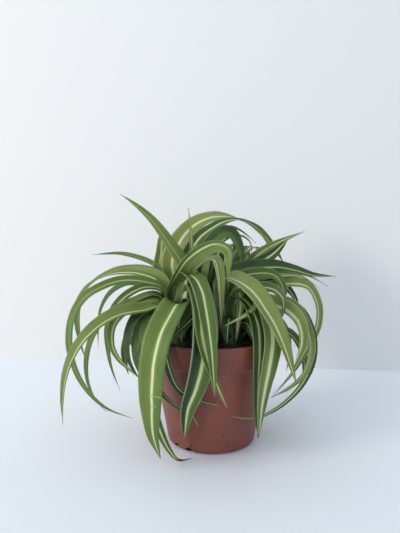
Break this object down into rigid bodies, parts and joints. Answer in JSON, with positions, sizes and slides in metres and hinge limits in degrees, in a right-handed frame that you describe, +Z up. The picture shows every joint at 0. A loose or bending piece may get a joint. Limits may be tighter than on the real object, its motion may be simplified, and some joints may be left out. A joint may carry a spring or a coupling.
{
  "type": "potted spider plant",
  "caption": "Spider plant with arching, drooping striped leaves in a round tapered nursery pot with a rim band.",
  "frame": {"origin": "centre of the pot's flat underside, on the surface the pot stands on", "axes": "+Z up along the pot's axis, -Y towards the front that the picture shows, +X to the right seen from the front"},
  "size_m": [0.2843, 0.2295, 0.2424],
  "materials": {
    "pot": "satin",
    "soil": "matte",
    "leaf": "satin"
  },
  "bodies": {
    "root": {"pot": "pot", "soil": "soil", "crown_left": "leaf", "crown_middle": "leaf", "crown_right": "leaf", "crown_back": "leaf"}
  },
  "joints": []
}
